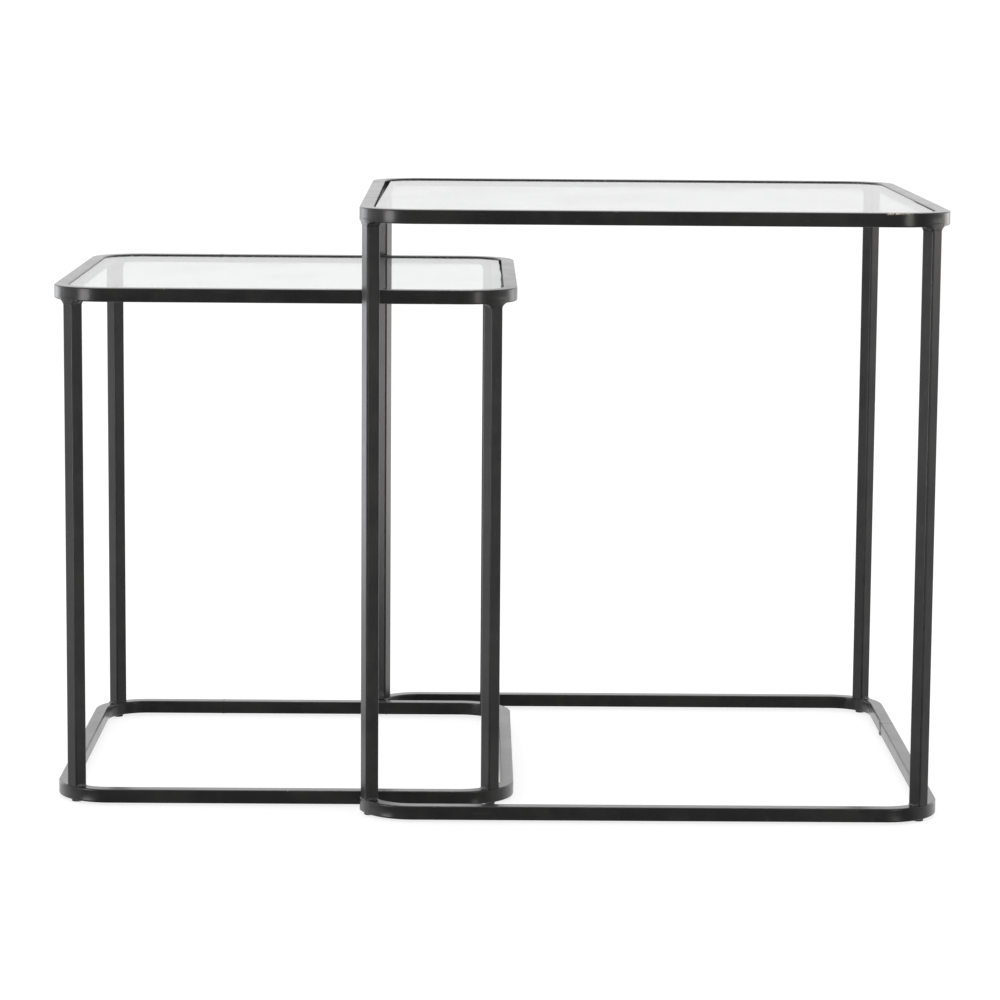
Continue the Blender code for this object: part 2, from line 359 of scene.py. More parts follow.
# -------- material nodes
class Net:
    """Adds nodes to one tree and wires them by socket or by value."""

    def __init__(self, tree):
        self.tree = tree

    def feed(self, socket, value):
        if isinstance(value, bpy.types.NodeSocket):
            self.tree.links.new(value, socket)
        else:
            socket.default_value = value

    def add(self, kind, inputs=None, **values):
        node = self.tree.nodes.new(kind)
        for name, value in values.items():
            setattr(node, name, value)
        for name, value in (inputs or {}).items():
            self.feed(node.inputs[name], value)
        return node

    def noise(self, vector, scale, detail=2.0, roughness=0.5):
        inputs = {"Vector": vector, "Scale": scale, "Detail": detail, "Roughness": roughness}
        return self.add("ShaderNodeTexNoise", inputs).outputs["Fac"]

    def math(self, operation, *values, clamp=False):
        return self.add("ShaderNodeMath", dict(enumerate(values)), operation=operation,
                        use_clamp=clamp).outputs[0]

    def greatest(self, values):
        return reduce(lambda first, second: self.math("MAXIMUM", first, second), values)

    def vector(self, operation, *values):
        node = self.add("ShaderNodeVectorMath", dict(enumerate(values)), operation=operation)
        return node.outputs["Value" if operation == "LENGTH" else "Vector"]

    def ramp(self, value, low, high, to_low=0.0, to_high=1.0):
        """Smooth step of a value from one range to another."""
        inputs = {"Value": value, "From Min": low, "From Max": high, "To Min": to_low, "To Max": to_high}
        return self.add("ShaderNodeMapRange", inputs, interpolation_type="SMOOTHSTEP").outputs["Result"]

    def mix(self, share, first, second):
        """Colour between two colours."""
        first, second = (value if isinstance(value, bpy.types.NodeSocket) else (*value, 1.0)
                         for value in (first, second))
        return self.add("ShaderNodeMix", {0: share, 6: first, 7: second}, data_type="RGBA").outputs[2]

    def place(self):
        """Object coordinates: metres in the pair's own frame."""
        return self.add("ShaderNodeTexCoord").outputs["Object"]

    def attribute(self, name):
        return self.add("ShaderNodeAttribute", attribute_name=name).outputs["Fac"]

    def bump(self, height):
        """Normal from a height in metres."""
        return self.add("ShaderNodeBump", {"Height": height, "Strength": 1.0, "Distance": 1.0}).outputs[0]

    def group(self, tree, **inputs):
        """Places a node group."""
        return self.add("ShaderNodeGroup", inputs, node_tree=tree).outputs[0]


VECTOR, FLOAT = "NodeSocketVector", "NodeSocketFloat"


def node_group(output, **inputs):
    """Turns a function that wires a group into one that gives the group, wired the first time it is asked
    for. The function gets the net and one socket for each input, and returns what goes to the output."""
    def wrap(wire):
        def give():
            known = bpy.data.node_groups.get(wire.__name__)
            if known:
                return known
            tree = bpy.data.node_groups.new(wire.__name__, "ShaderNodeTree")
            for title, kind in inputs.items():
                tree.interface.new_socket(title, in_out="INPUT", socket_type=kind)
            tree.interface.new_socket(output, in_out="OUTPUT", socket_type=FLOAT)
            given = tree.nodes.new("NodeGroupInput").outputs
            result = wire(Net(tree), *(given[title] for title in inputs))
            tree.links.new(result, tree.nodes.new("NodeGroupOutput").inputs[0])
            return tree
        return give
    return wrap


@node_group("Height", Vector=VECTOR, Size=FLOAT, Depth=FLOAT)
def orange_peel(net, place, span, depth):
    """Height of a sprayed and baked coat: a coarse noise and a third as much of one four times finer."""
    scale = net.math("DIVIDE", 1.0, span)
    coarse = net.noise(place, scale, 1.0)
    fine = net.noise(place, net.math("MULTIPLY", scale, 4.0), 1.0)
    return net.math("MULTIPLY", net.math("MULTIPLY_ADD", fine, 0.33, coarse), depth)


@node_group("Mask", Vector=VECTOR, Edge=FLOAT, Amount=FLOAT, Size=FLOAT)
def edge_wear(net, place, edge, how_much, span):
    """Mask of chips: 1 where a noise, raised along edges and by the amount, passes a threshold."""
    noise = net.noise(place, net.math("DIVIDE", 1.0, span), 3.0, 0.6)
    raised = net.math("MULTIPLY_ADD", edge, 0.24, noise)
    return net.ramp(net.math("MULTIPLY_ADD", how_much, 0.30, raised), 0.985, 1.015)


@node_group("Mask", Vector=VECTOR, Size=FLOAT, Amount=FLOAT)
def scuffs(net, place, span, how_much):
    """Mask of hairline scratches along x, y and z: three noises drawn out 45 and 60 times, cut near
    their tops and kept in patches."""
    scale = net.math("DIVIDE", 1.0, span)
    drawn = [net.vector("MULTIPLY", place, stretch) for stretch in ((1, 45, 60), (60, 1, 45), (45, 60, 1))]
    marks = net.greatest(net.ramp(net.noise(way, scale, 1.0), 0.69, 0.74) for way in drawn)
    patches = net.ramp(net.noise(place, net.math("MULTIPLY", scale, 1.6), 2.0), 0.50, 0.66)
    return net.math("MULTIPLY", net.math("MULTIPLY", marks, patches), how_much)


@node_group("Mask", Vector=VECTOR, Place=VECTOR, Reach=VECTOR, Amount=FLOAT)
def knock(net, place, spot, reach, how_much):
    """Mask of a spot: 1 up to half of the reach along each axis, falling to 0 at the reach."""
    away = net.vector("DIVIDE", net.vector("SUBTRACT", place, spot), reach)
    return net.math("MULTIPLY", net.ramp(net.vector("LENGTH", away), 1.0, 0.5), how_much)


@node_group("Value", Vector=VECTOR, Size=FLOAT)
def cloud(net, place, span):
    """Slow change over a surface, 0 to 1: a noise of that size and one of a fifth of it."""
    scale = net.math("DIVIDE", 1.0, span)
    broad = net.noise(place, scale, 2.0)
    small = net.noise(place, net.math("MULTIPLY", scale, 5.0), 3.0)
    both = net.math("ADD", net.math("MULTIPLY", broad, 0.65), net.math("MULTIPLY", small, 0.35))
    return net.ramp(both, 0.36, 0.64)


def new_material(name):
    """Material, its net, its Principled shader and the place on the surface."""
    material = bpy.data.materials.new(name)
    material.use_nodes = True
    net = Net(material.node_tree)
    return material, net, material.node_tree.nodes["Principled BSDF"], net.place()


def connect(net, shader, **sockets):
    """Wires or sets the shader's sockets; a socket's name has _ for each space."""
    for name, value in sockets.items():
        net.feed(shader.inputs[name.replace("_", " ")], value)


def all_spots(net, place, spots):
    """The strongest of the spots' masks at each point."""
    masks = []
    for table, (x, y, z), reach, how_much in spots:
        centre = Plan(table).centre
        spot = (centre[0] + x, centre[1] + y, z)
        masks.append(net.group(knock(), Vector=place, Place=spot, Reach=reach, Amount=how_much))
    return net.greatest(masks)


def steel_coat(name, peel_scale, roughness_low, roughness_high):
    """Black powder coat: mottled near-black, hairline scuffs, chips down to the primer, orange peel."""
    finish = settings().finish
    material, net, shader, place = new_material(name)
    slow = net.group(cloud(), Vector=place, Size=0.055)
    marks = net.group(scuffs(), Vector=place, Size=0.020, Amount=0.55)
    amount_here = net.math("MAXIMUM", all_spots(net, place, KNOCKS), finish.wear)
    chips = net.group(edge_wear(), Vector=place, Edge=net.attribute("edge"), Amount=amount_here,
                      Size=0.0022)
    base = net.mix(slow, finish.coat, finish.coat_worn)
    base = net.mix(marks, base, finish.scuff)
    bare = net.mix(net.ramp(net.noise(place, 1100.0), 0.41, 0.54), finish.primer, finish.coat)
    base = net.mix(chips, base, bare)
    rough = net.math("ADD", net.ramp(slow, 0.0, 1.0, roughness_low, roughness_high),
                     net.math("MULTIPLY", net.math("MAXIMUM", marks, chips), 0.12))
    peel = net.group(orange_peel(), Vector=place, Size=finish.peel_size * peel_scale,
                     Depth=finish.peel_depth * peel_scale)
    scars = net.math("MULTIPLY", all_spots(net, place, SCARS), net.noise(place, 330.0, 2.0))
    height = net.math("MULTIPLY_ADD", scars, finish.scar_depth, peel)
    height = net.math("SUBTRACT", height, net.math("MULTIPLY", chips, finish.chip_depth))
    connect(net, shader, Base_Color=base, Roughness=rough, Normal=net.bump(height), IOR=1.45,
            Coat_Weight=0.6, Coat_Roughness=0.20)
    return material


def once(make):
    """Gives the material of that maker, made the first time it is asked for."""
    def give():
        return bpy.data.materials.get(make.__name__) or make()
    return give


@once
def powder_coat():
    return steel_coat("powder_coat", 1.0, 0.29, 0.34)


@once
def powder_coat_weld():
    """The same coat over a weld, where it pools: coarser and a little glossier."""
    return steel_coat("powder_coat_weld", 1.5, 0.26, 0.33)


@once
def float_glass():
    """Clear float glass: faint tint and smudges on the faces, green where the ground edge shows."""
    finish = settings().finish
    material, net, shader, place = new_material("float_glass")
    smudge = net.group(cloud(), Vector=place, Size=0.090)
    ground = net.attribute("edge")
    tint = net.mix(smudge, finish.glass_face, tuple(0.985 * c for c in finish.glass_face))
    tint = net.mix(ground, tint, finish.glass_edge)
    marks = net.group(scuffs(), Vector=place, Size=0.030, Amount=0.10)
    rough = net.math("ADD", net.ramp(smudge, 0.2, 1.0, 0.0, 0.025), net.math("MULTIPLY", ground, 0.12))
    connect(net, shader, Base_Color=tint, Roughness=net.math("ADD", rough, marks),
            Transmission_Weight=1.0, IOR=1.52)
    return material


@once
def clear_silicone():
    """Soft clear dots, a little cloudy inside."""
    material, net, shader, place = new_material("clear_silicone")
    haze = net.group(cloud(), Vector=place, Size=0.004)
    silicone = settings().finish.silicone
    tint = net.mix(haze, silicone, tuple(0.82 * c for c in silicone))
    peel = net.group(orange_peel(), Vector=place, Size=0.0010, Depth=0.000012)
    connect(net, shader, Base_Color=tint, Roughness=net.ramp(haze, 0.0, 1.0, 0.22, 0.38),
            Normal=net.bump(peel), Transmission_Weight=0.8, IOR=1.41)
    return material


@once
def black_nylon():
    """Moulded nylon: fine grain and pale scuffs."""
    finish = settings().finish
    material, net, shader, place = new_material("black_nylon")
    slow = net.group(cloud(), Vector=place, Size=0.006)
    marks = net.group(scuffs(), Vector=place, Size=0.006, Amount=0.6)
    base = net.mix(slow, finish.nylon, tuple(1.6 * c for c in finish.nylon))
    base = net.mix(marks, base, finish.scuff)
    grain = net.group(orange_peel(), Vector=place, Size=0.0005, Depth=0.000020)
    connect(net, shader, Base_Color=base, Roughness=net.ramp(slow, 0.0, 1.0, 0.50, 0.68),
            Normal=net.bump(grain))
    return material


@once
def pale_floor():
    """Matt floor with a barely visible mottle. It glows, to stay pale under the rails."""
    studio = settings().studio
    material, net, shader, place = new_material("pale_floor")
    slow = net.group(cloud(), Vector=place, Size=0.35)
    tint = net.mix(slow, studio.floor, tuple(0.985 * c for c in studio.floor))
    peel = net.group(orange_peel(), Vector=place, Size=0.004, Depth=0.00004)
    connect(net, shader, Base_Color=tint, Roughness=net.ramp(slow, 0.0, 1.0, 0.75, 0.85),
            Normal=net.bump(peel), Emission_Color=(1.0, 1.0, 1.0, 1.0),
            Emission_Strength=studio.floor_glow)
    return material


# -------- shapes of the pieces
def tube_outline(plan):
    """Core, bulge and edge of the square tube's profile, and its outline."""
    core, bulge, edge = square_profile()
    half, radius = (plan.tube, plan.tube), settings().tube.edge_radius
    return core, bulge, edge, outline(core, bulge, half, radius)


def tube_sections(plan, share):
    """Square tube's section at each station of a rail.

    The outer flat sinks by the bend's sink * share * (1 - s * s), where s runs from -1 to 1 across it.
    The inner flat rises and falls along the bend as a cosine of the station, by the ripple * share.
    """
    tube = settings().tube
    core, bulge, edge, flat = tube_outline(plan)
    sections = np.tile(flat, (len(share), 1, 1))
    across = 1 - core[:, 1] ** 2
    sink = tube.bend_sink * share[:, None] * (across * (bulge[:, 0] == 1))
    wave = share * np.cos(np.arange(len(share)) * 2 * pi / 6)
    ripple = tube.bend_ripple * wave[:, None] * (across * (bulge[:, 0] == -1))
    sections[..., 0] -= sink + ripple
    return sections, edge


def rail_grid(plan, path):
    stations, out, share = path
    sections, edge = tube_sections(plan, share)
    return carry(stations, out, UP, sections), edge


def closed_ring(plan, rail, closing):
    """Paths of a ring's bent tube and of the straight piece that closes it, which lies either in the
    ring's left side or in its back."""
    low, high = box(closing)
    centre = (low + high) / 2
    if high[1] - low[1] > high[0] - low[0]:
        bends = full_bends(*CORNERS)
        along, out = np.array((0, 1, 0)), np.array((-1.0, 0.0, 0.0))
    else:
        bends = full_bends("back_left", "front_left", "front_right", "back_right")
        along, out = np.array((1, 0, 0)), np.array((0.0, 1.0, 0.0))
    start, end = (centre * (1 - along) + reach * along for reach in (low, high))
    stations, outs, share = between(start, end, out)
    straight = [np.vstack((stations, end)), np.vstack((outs, outs[-1])), np.append(share, 0.0)]
    return ring_path(plan, centre[2], bends, start, end), straight


def hooked_half(plan, side, cap, seam):
    """Path of one half of the large base: from the end plate round two bends to the butt weld."""
    corner, other = f"{side}_left", f"{side}_right"
    spread = END_PLATE / 2 / plan.bend
    at_cap = plan.turn(corner, cap) % (2 * pi)
    height = middle(cap)[2]
    if side == "front":
        bends = [(corner, at_cap + spread, radians(270))] + full_bends(other)
        return ring_path(plan, height, bends, end=seam)
    bends = full_bends(other) + [(corner, radians(90), at_cap - spread)]
    return ring_path(plan, height, bends, start=seam)


def base_seam(plan):
    """Point on the centre line of the large base's right side where its halves are welded."""
    low, high = box("large_base_front_rail")
    return np.array((plan.centre[0] + plan.half[0] - plan.tube, high[1], (low[2] + high[2]) / 2))


def leg_grid(plan, corner):
    """Upright square tube: the profile's x runs outwards from the bend's centre, its y along the ring."""
    node = f"{plan.table}_leg_{corner}"
    out = heading(plan.turn(corner, node))
    bottom, top = ring_faces(plan)
    x, y, _ = middle(node)
    steps = 1 + round((top - bottom) / STRAIGHT_STEP / 2)
    heights = np.linspace(bottom, top, steps)
    stations = np.stack((np.full(steps, x), np.full(steps, y), heights), axis=1)
    sections, edge = tube_sections(plan, np.zeros(steps))
    return carry(stations, out, np.cross(UP, out), sections), edge


def ring_faces(plan):
    """Heights of the base's upper face and of the top ring's underside."""
    return box(plan.base_rail)[1][2], box(f"{plan.table}_top_rail")[0][2]


def leg_weld_grid(plan, corner, level, fillet, seed):
    """Skin of the weld that joins a leg to a ring.

    With t from 0 on the leg to 90 degrees at the ring, the height left to the ring is fillet * (1 - sin t)
    and the half width along the ring is the tube's plus fillet * (1 - cos t), a quarter circle that starts
    just inside the leg. Across the ring it stands a little proud, because it is ground flush. The section
    turns from straight to the ring's arc as sin t squared. Past the ring's face it narrows and fades into
    the tube. At the base it is not ground and keeps inside the tube's faces. The unground sides carry
    lumps, a sum of sines of the place round the weld and of the millimetres down it.
    """
    weld, tube = settings().weld, settings().tube
    node = f"{plan.table}_leg_{corner}"
    turn = plan.turn(corner, node)
    out, along = heading(turn), np.cross(UP, heading(turn))
    bottom, top = ring_faces(plan)
    ring, into = (top, 1) if level == "top" else (bottom, -1)
    t = np.linspace(0, pi / 2, 11)
    beyond = np.array((0.0007, 0.0015, 0.0024, 0.0032))
    fade = np.array((0.96, 0.86, 0.66, 0.40))
    to_ring = np.concatenate((-fillet * (1 - np.sin(t)), beyond))
    spread = np.concatenate((fillet * (1 - np.cos(t)), fillet * fade))
    arc_share = np.concatenate((np.sin(t) ** 2, np.ones(len(beyond))))
    ease = np.concatenate((np.minimum(t / 0.6, 1), (1, 1, 0.2, -2.0)))
    proud = weld.proud * (2.5 * ease - 1.5)
    proud[len(t) + 2:] = (0.0, -2.5 * weld.proud)
    if level == "base":
        proud -= weld.inset * ease.clip(0, 1)
    core, bulge, edge = square_profile(flats=np.linspace(-1, 1, 13))
    inside = 0.00015
    half = np.stack((plan.tube + proud, plan.tube - inside + spread), axis=1)
    sections = outline(core, bulge, half, np.full(len(half), tube.edge_radius))
    place = np.arange(len(core)) / len(core) * 2 * pi
    down = to_ring[:, None] / 0.001
    lumps = (np.sin(5 * place + 1.3 * seed + 0.8 * down)
             + 0.8 * np.sin(11 * place - 2.1 * seed - 1.3 * down)
             + 0.6 * np.sin(17 * place + 0.7 * seed + 2.1 * down))
    swell = np.concatenate((np.sin(t), fade))
    sections[..., 1] += weld.lumps * 0.42 * lumps * bulge[:, 1] * swell[:, None]
    u, v = sections[..., 0:1], sections[..., 1:2]
    centre = plan.bend_centre(corner)
    x, y, _ = middle(node)
    radius = np.hypot(x - centre[0], y - centre[1])
    straight = (radius + u) * out + v * along
    bent = (radius + u) * (np.cos(v / radius) * out + np.sin(v / radius) * along)
    share = arc_share[:, None, None]
    heights = (ring + into * to_ring)[:, None, None] * UP
    return centre + (1 - share) * straight + share * bent + heights, edge


def seam_grid(plan, spot, out, seed, width, bead=0.0):
    """Ground band over a butt weld: the tube's section carried a short way along it.

    Its height over the tube is the seam's height times (1 - s to the fourth), where s runs from -1 to 1
    along the tube, and a little below the tube at both ends. A bead is added on the inner and lower flats.
    """
    weld = settings().weld
    s = np.array((-1.0, -0.94, -0.83, -0.66, -0.46, -0.23, 0.0, 0.23, 0.46, 0.66, 0.83, 0.94, 1.0))
    core, bulge, edge, flat = tube_outline(plan)
    place = np.arange(len(core)) / len(core) * 2 * pi
    wander = 0.15 * np.sin(3 * place + seed) + 0.10 * np.sin(7 * place - 2 * seed)
    rise = weld.seam_height * ((1 - s ** 4)[:, None] * (1 + wander) * 1.5 - 0.5)
    lower = np.clip(-bulge[:, 0], 0, 1) + 0.7 * np.clip(-bulge[:, 1], 0, 1)
    knobs = 1 + 0.35 * np.sin(6 * place + seed) + 0.25 * np.sin(13 * place)
    rise = rise + bead * ((1 - s ** 2) ** 1.5)[:, None] * lower * knobs
    sections = flat + rise[..., None] * bulge
    along = np.cross(UP, out)
    slant = 0.10 * width * np.sin(2 * place + seed)
    stations = spot + (s * width / 2)[:, None] * along
    return carry(stations, out, UP, sections) + slant[None, :, None] * along, edge


def plate_grid(plan, low, high, long_axis):
    """Flat bar that fills a box: a rounded rectangle carried along the bar, drawn in at both ends."""
    radius = settings().tube.plate_edge
    centre, half = (low + high) / 2, (high - low) / 2
    length = half[long_axis]
    out = np.eye(3)[1 - long_axis]
    reach = np.concatenate(((-length, -length + radius), np.linspace(-length, length, 9)[1:-1],
                            (length - radius, length)))
    stations = centre + reach[:, None] * np.eye(3)[long_axis]
    drawn_in = np.zeros(len(reach))
    drawn_in[[0, -1]] = radius
    core, bulge, edge = square_profile(arc_steps=3)
    across = half[[1 - long_axis, 2]] - drawn_in[:, None]
    sections = outline(core, bulge, across, np.maximum(radius - drawn_in, 1e-5))
    return carry(stations, out, UP, sections), edge


def end_plate_grid(plan, corner, node):
    """Plate on an open end of the large base: the tube's section carried on round the bend."""
    tube = settings().tube
    spread = END_PLATE / 2 / plan.bend
    share = np.array((-1.0, -0.5, 0.5, 1.0))
    angles = plan.turn(corner, node) + spread * share
    out = heading(angles)
    stations = plan.bend_centre(corner) + plan.bend * out + middle(node)[2] * UP
    core, bulge, edge = square_profile()
    half = plan.tube + np.array((-tube.plate_edge, 0.0, 0.0, -tube.plate_edge))
    sections = outline(core, bulge, np.stack((half, half), axis=1), np.full(len(half), tube.edge_radius))
    return carry(stations, out, UP, sections), edge


def turned_grid(centre, radii, heights, around=40):
    """Turned piece: a profile of radii and heights, each taken round as (cos, sin) of a full turn."""
    turn = heading(np.linspace(0, 2 * pi, around, endpoint=False))
    return centre + np.asarray(radii)[:, None, None] * turn + np.asarray(heights)[:, None, None] * UP


def pane_grid(plan):
    """Pane with round corners and a ground edge.

    The outline is core * (half size - radius) + bulge * radius, drawn in by the gap. The large pane's left
    side slants, so that its gap grows from front to back, and its right gap steps down at a third of its
    length; the small pane's right side waves.
    """
    glass = settings().glass
    low, high = box(f"{plan.table}_glass_pane")
    inner = plan.half[:2] - 2 * plan.tube
    radius = plan.corner - 2 * plan.tube - glass.gap
    core, bulge, _ = square_profile(flats=np.linspace(-1, 1, 33), arc_steps=16)
    plan_points = outline(core, bulge, inner - glass.gap, radius)
    share = (plan_points[:, 1] + inner[1]) / (2 * inner[1])
    if plan.table == "large":
        left_gap = glass.left_gap_front + share * (glass.left_gap_back - glass.left_gap_front)
        plan_points[:, 0] += (1 - core[:, 0]) / 2 * (left_gap - glass.gap)
        step_at, step_run = 0.34, 0.06
        step = np.clip((share - step_at) / step_run, 0, 1)
        right_gap = glass.right_gap_front + step * (glass.right_gap_back - glass.right_gap_front)
        plan_points[:, 0] -= (1 + core[:, 0]) / 2 * (right_gap - glass.gap)
    else:
        waves = 0.9 + 0.6 * np.sin(9.0 * share + 0.6) + 0.4 * np.sin(23.0 * share)
        plan_points[:, 0] -= (1 + core[:, 0]) / 2 * glass.wave * waves
        plan_points[:, 0] += (1 - core[:, 0]) / 2 * (glass.small_left_gap - glass.gap)
    inset = glass.arris * np.array((9.0, 4.0, 1.0, 0.0, 0.0, 1.0, 4.0, 9.0))
    thickness = high[2] - low[2]
    rise = np.array((0.0, 0.0, 0.0, glass.arris, thickness - glass.arris) + (thickness,) * 3)
    flat = plan_points[None] - inset[:, None, None] * bulge[None]
    levels = np.broadcast_to((low[2] + rise)[:, None, None], (*flat.shape[:2], 1))
    grid = np.concatenate((flat + plan.centre[:2], levels), axis=2)
    ground = np.array((0.0, 0.0, 0.5, 1.0, 1.0, 0.5, 0.0, 0.0))[:, None]
    return grid, ground


# -------- operators
class NESTING_OT_rails(bpy.types.Operator):
    """Bent and straight square tubes of the rings and bases"""
    bl_idname = "nesting.rails"
    bl_label = "Rails"

    def execute(self, context):
        for table in TABLES:
            plan = Plan(table)
            levels = ("top", "base") if table == "small" else ("top",)
            for level in levels:
                rail, closing = f"{table}_{level}_rail", f"{table}_{level}_closing_rail"
                for node, path in zip((rail, closing), closed_ring(plan, rail, closing)):
                    coated(f"{node}_coated", *rail_grid(plan, path), plan, node)
        plan = Plan("large")
        for side in ("front", "back"):
            node = f"large_base_{side}_rail"
            path = hooked_half(plan, side, f"large_base_end_cap_{side}", base_seam(plan))
            coated(f"{node}_coated", *rail_grid(plan, path), plan, node)
        return {"FINISHED"}


class NESTING_OT_legs(bpy.types.Operator):
    """Upright square tubes, turned square to their bends"""
    bl_idname = "nesting.legs"
    bl_label = "Legs"

    def execute(self, context):
        for table in TABLES:
            plan = Plan(table)
            for corner in CORNERS:
                node = f"{table}_leg_{corner}"
                coated(f"{node}_coated", *leg_grid(plan, corner), plan, node)
        return {"FINISHED"}


class NESTING_OT_leg_welds(bpy.types.Operator):
    """Fillet welds between the legs and the rings"""
    bl_idname = "nesting.leg_welds"
    bl_label = "Leg welds"

    def execute(self, context):
        weld = settings().weld
        for table in TABLES:
            plan = Plan(table)
            for level, fillet in (("top", weld.top_fillet), ("base", weld.base_fillet)):
                for seed, corner in enumerate(CORNERS, start=len(table) * 3 + len(level)):
                    grid = leg_weld_grid(plan, corner, level, fillet, seed)
                    coated(f"{table}_{level}_weld_{corner}", *grid, plan, material=powder_coat_weld)
        return {"FINISHED"}


class NESTING_OT_seams(bpy.types.Operator):
    """Ground bands over the butt welds of the rings"""
    bl_idname = "nesting.seams"
    bl_label = "Butt welds"

    def execute(self, context):
        weld = settings().weld
        for node in ("large_top_closing_rail", "small_top_closing_rail", "small_base_closing_rail"):
            plan = Plan(node.split("_")[0])
            low, high = box(node)
            axis = int(high[1] - low[1] > high[0] - low[0])
            out = np.array((-1.0, 0.0, 0.0)) if axis else np.array((0.0, 1.0, 0.0))
            for end, reach in (("first", low), ("second", high)):
                spot = (low + high) / 2
                spot[axis] = reach[axis]
                name = f"{node.replace('closing_rail', 'seam')}_{end}"
                grid = seam_grid(plan, spot, out, reach[axis] * 90, weld.seam_width)
                coated(name, *grid, plan, material=powder_coat_weld)
        plan = Plan("large")
        out = np.array((1.0, 0.0, 0.0))
        grid = seam_grid(plan, base_seam(plan), out, 2.0, weld.bead_width, weld.bead_height)
        coated("large_base_seam", *grid, plan, material=powder_coat_weld)
        return {"FINISHED"}


class NESTING_OT_plates(bpy.types.Operator):
    """Ledges under the panes and plates that close the large base's open ends"""
    bl_idname = "nesting.plates"
    bl_label = "Ledges and end plates"

    def execute(self, context):
        for table in TABLES:
            plan = Plan(table)
            for side, long_axis in (("front", 0), ("back", 0), ("left", 1), ("right", 1)):
                node = f"{table}_ledge_{side}"
                coated(f"{node}_coated", *plate_grid(plan, *box(node), long_axis), plan, node)
        plan = Plan("large")
        for side in ("front", "back"):
            node = f"large_base_end_cap_{side}"
            coated(f"{node}_coated", *end_plate_grid(plan, f"{side}_left", node), plan, node)
        return {"FINISHED"}


class NESTING_OT_glides(bpy.types.Operator):
    """Nylon glides under the legs"""
    bl_idname = "nesting.glides"
    bl_label = "Glides"

    def execute(self, context):
        for table in TABLES:
            plan = Plan(table)
            under = box(plan.base_rail)[0][2]
            for corner in CORNERS:
                node = f"{table}_glide_{corner}"
                low, high = box(node)
                radius = (high[0] - low[0]) / 2
                t = np.linspace(0, pi / 2, 5)
                rim = 0.0006
                radii = np.concatenate(((radius - 0.0016,), radius - rim + rim * np.sin(t),
                                        (radius, radius - 0.0001, radius - 0.0005, radius - 0.0009)))
                heights = np.concatenate(((0.0,), rim - rim * np.cos(t),
                                          (under - 0.0006, under - 0.0003, under - 0.0001, under)))
                grid = turned_grid(middle(node) * (1, 1, 0), radii, heights)
                add_piece(f"{node}_nylon", grid, 0.0, black_nylon, plan.body, "glide_black", node)
        return {"FINISHED"}


class NESTING_OT_bumpers(bpy.types.Operator):
    """Clear silicone dots between the ledges and the panes"""
    bl_idname = "nesting.bumpers"
    bl_label = "Bumpers"

    def execute(self, context):
        for table in TABLES:
            plan = Plan(table)
            ledge_top = box(f"{table}_ledge_front")[1][2]
            pane_under = box(f"{table}_glass_pane")[0][2]
            for corner in CORNERS:
                node = f"{table}_bumper_{corner}"
                low, high = box(node)
                radius = (high[0] - low[0]) / 2
                t = np.linspace(0, pi / 2, 9)
                radii = np.concatenate(((radius - 0.0002,), radius * (0.45 + 0.55 * np.cos(t))))
                heights = np.concatenate(((0.0,), 0.0002 + (pane_under - ledge_top - 0.0002) * np.sin(t)))
                grid = turned_grid(middle(node) * (1, 1, 0) + ledge_top * UP, radii, heights, 32)
                add_piece(f"{node}_clear", grid, 0.0, clear_silicone, plan.body, "bumper_clear", node)
        return {"FINISHED"}


class NESTING_OT_panes(bpy.types.Operator):
    """Glass panes, loose in their rings"""
    bl_idname = "nesting.panes"
    bl_label = "Glass panes"

    def execute(self, context):
        for table in TABLES:
            grid, ground = pane_grid(Plan(table))
            node = f"{table}_glass_pane"
            add_piece(f"{node}_clear", grid, ground, float_glass, f"{table}_glass", "glass_clear", node)
        return {"FINISHED"}


class NESTING_OT_studio(bpy.types.Operator):
    """Pale floor, soft lights and the camera"""
    bl_idname = "nesting.studio"
    bl_label = "Studio"

    def execute(self, context):
        add_floor()
        add_world()
        for name, values in LIGHTS.items():
            add_light(name, *values)
        add_camera()
        context.scene.view_settings.view_transform = "Standard"
        return {"FINISHED"}


# -------- studio
# name of a light: where it stands, what it looks at, width, height, radiance and colour
LIGHTS = {
    "top_softbox": ((0.0, 0.2, 2.6), (0.0, 0.0, 0.0), 3.2, 3.2, 0.8, (1.0, 1.0, 1.0)),
    "back_softbox": ((0.0, 3.4, 2.2), (0.0, 0.0, 0.4), 6.0, 2.6, 0.2, (1.0, 0.99, 0.96)),
    "front_left_softbox": ((-1.90, -1.45, 0.3), (0.0, 0.0, 0.3), 0.75, 1.0, 4.6, (1.0, 0.97, 1.0)),
    "front_right_softbox": ((1.25, -2.00, 0.2), (0.0, 0.0, 0.2), 0.5, 1.0, 2.4, (1.0, 0.99, 0.97)),
    "left_softbox": ((-2.5, 0.1, 0.0), (0.0, 0.0, 0.0), 1.2, 1.3, 0.24, (0.94, 0.95, 1.0)),
    "right_softbox": ((2.6, 0.1, 0.55), (0.0, 0.1, 0.55), 1.2, 0.5, 0.9, (1.0, 0.96, 0.93)),
    "behind_left_softbox": ((-2.4, 1.9, 0.2), (0.0, 0.0, 0.2), 1.4, 1.0, 1.4, (0.93, 0.95, 1.0)),
    "behind_right_softbox": ((2.5, 1.9, 0.2), (0.0, 0.0, 0.2), 1.3, 1.0, 1.3, (1.0, 0.97, 0.95)),
}


def add_floor():
    """Flat square that casts no shadow. Mirror-like surfaces see the world in its place."""
    half = settings().studio.floor_size / 2
    corners = np.array(((-1, -1, 0), (1, -1, 0), (1, 1, 0), (-1, 1, 0))) * half
    mesh = bpy.data.meshes.new("floor")
    mesh.from_pydata(corners.tolist(), [], [(0, 1, 2, 3)])
    floor = bpy.data.objects.new("floor", mesh)
    bpy.context.scene.collection.objects.link(floor)
    mesh.materials.append(pale_floor())
    floor.visible_glossy = False
    floor.visible_shadow = False


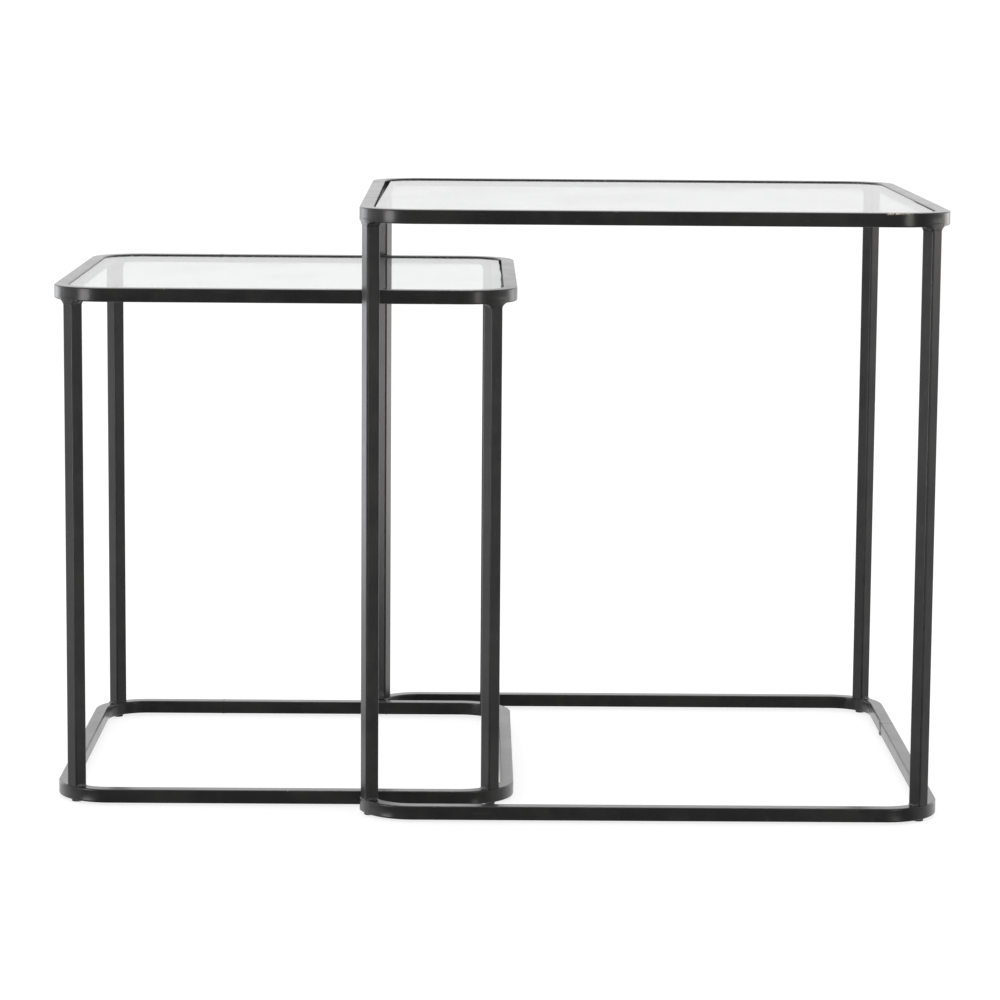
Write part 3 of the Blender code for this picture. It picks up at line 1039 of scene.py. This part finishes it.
def add_world():
    """White to the eye and to matt surfaces. In reflections it is bright behind the tables, dimmer at their
    sides and dimmest in front and below."""
    world = bpy.data.worlds.new("studio")
    bpy.context.scene.world = world
    world.use_nodes = True
    net = Net(world.node_tree)
    world.node_tree.nodes.clear()
    direction = net.add("ShaderNodeTexCoord").outputs["Generated"]
    along = net.add("ShaderNodeSeparateXYZ", {"Vector": direction}).outputs
    front_to_side = net.ramp(along["Y"], -0.60, -0.10, 0.11, 0.42)
    side_to_back = net.ramp(along["Y"], 0.12, 0.55, 0.0, 0.50)
    level = net.math("MULTIPLY", net.math("ADD", front_to_side, side_to_back),
                     net.ramp(along["Z"], -0.55, 0.05, 0.75, 1.0))
    path = net.add("ShaderNodeLightPath").outputs
    plain = net.math("MAXIMUM", path["Is Camera Ray"], path["Is Diffuse Ray"])
    strength = net.math("MAXIMUM", level, plain)
    glow = net.add("ShaderNodeBackground", {"Color": (1.0, 1.0, 1.0, 1.0), "Strength": strength})
    output = net.add("ShaderNodeOutputWorld")
    net.tree.links.new(glow.outputs[0], output.inputs["Surface"])


def add_light(name, place, target, width, height, radiance, tint):
    """Softbox that faces its target. A lit rectangle of one radiance gives pi * area * radiance watts."""
    data = bpy.data.lights.new(name, "AREA")
    data.shape = "RECTANGLE"
    data.size, data.size_y = width, height
    data.color = tint
    data.energy = pi * width * height * radiance
    light = bpy.data.objects.new(name, data)
    bpy.context.scene.collection.objects.link(light)
    light.location = place
    light.rotation_euler = (Vector(target) - Vector(place)).to_track_quat("-Z", "Y").to_euler()
    light.visible_camera = False


def add_camera():
    studio = settings().studio
    data = bpy.data.cameras.new("camera")
    data.lens = studio.lens
    data.clip_end = 2 * studio.floor_size
    camera = bpy.data.objects.new("camera", data)
    bpy.context.scene.collection.objects.link(camera)
    turn = (Matrix.Rotation(-studio.yaw, 4, "Z") @ Matrix.Rotation(pi / 2 - studio.pitch, 4, "X")
            @ Matrix.Rotation(studio.roll, 4, "Z"))
    camera.matrix_world = Matrix.Translation(studio.camera_place) @ turn
    bpy.context.scene.camera = camera


# -------- sidebar and registration
OPERATORS = (NESTING_OT_rails, NESTING_OT_legs, NESTING_OT_leg_welds, NESTING_OT_seams,
             NESTING_OT_plates, NESTING_OT_glides, NESTING_OT_bumpers, NESTING_OT_panes,
             NESTING_OT_studio)


class NESTING_PT_tables(bpy.types.Panel):
    """Lists the operators and the settings of the pair"""
    bl_idname = "NESTING_PT_tables"
    bl_label = "Nesting Tables"
    bl_space_type = "VIEW_3D"
    bl_region_type = "UI"
    bl_category = "Nesting Tables"

    def draw(self, context):
        for operator in OPERATORS:
            self.layout.operator(operator.bl_idname)
        for part in ("tube", "weld", "glass", "finish", "studio"):
            section = self.layout.box()
            section.label(text=part.capitalize())
            values = getattr(settings(), part)
            for name in values.__annotations__:
                section.prop(values, name)


CLASSES = (TubeSettings, WeldSettings, GlassSettings, FinishSettings, StudioSettings, NestingTables,
           *OPERATORS, NESTING_PT_tables)


def register():
    for kind in CLASSES:
        bpy.utils.register_class(kind)
    bpy.types.Scene.nesting_tables = PointerProperty(type=NestingTables)


def unregister():
    del bpy.types.Scene.nesting_tables
    for kind in reversed(CLASSES):
        bpy.utils.unregister_class(kind)


def main():
    register()
    bpy.ops.nesting.rails()
    bpy.ops.nesting.legs()
    bpy.ops.nesting.leg_welds()
    bpy.ops.nesting.seams()
    bpy.ops.nesting.plates()
    bpy.ops.nesting.glides()
    bpy.ops.nesting.bumpers()
    bpy.ops.nesting.panes()
    bpy.ops.nesting.studio()


if __name__ == "__main__":
    main()
